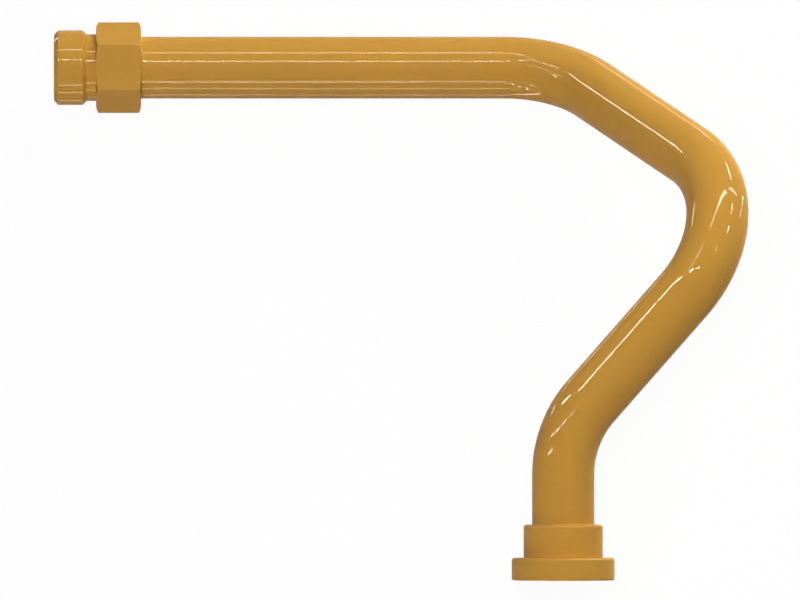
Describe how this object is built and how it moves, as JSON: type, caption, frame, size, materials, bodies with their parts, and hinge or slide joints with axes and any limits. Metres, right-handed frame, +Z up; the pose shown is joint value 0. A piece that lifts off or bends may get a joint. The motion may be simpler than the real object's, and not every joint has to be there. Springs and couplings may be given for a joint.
{
  "type": "bent tube assembly",
  "caption": "Rigid bent hydraulic tube with a face-seal connector and hexagon brazed to its long end and a round clamp-flange head to its short end.",
  "frame": {"origin": "the floor that the assembly lies on, under the middle of its outline seen from above", "axes": "+X along the long straight run seen from above, from the connector towards the bends; +Y from the flange towards the long run; +Z up as it lies at rest"},
  "size_m": [0.2817, 0.251, 0.0755],
  "materials": {
    "enamel": "gloss ochre enamel over steel"
  },
  "bodies": {
    "root": {"tube": "enamel", "threaded_connector": "enamel", "flange_head": "enamel", "connector_braze": "enamel", "flange_braze": "enamel"}
  },
  "joints": []
}
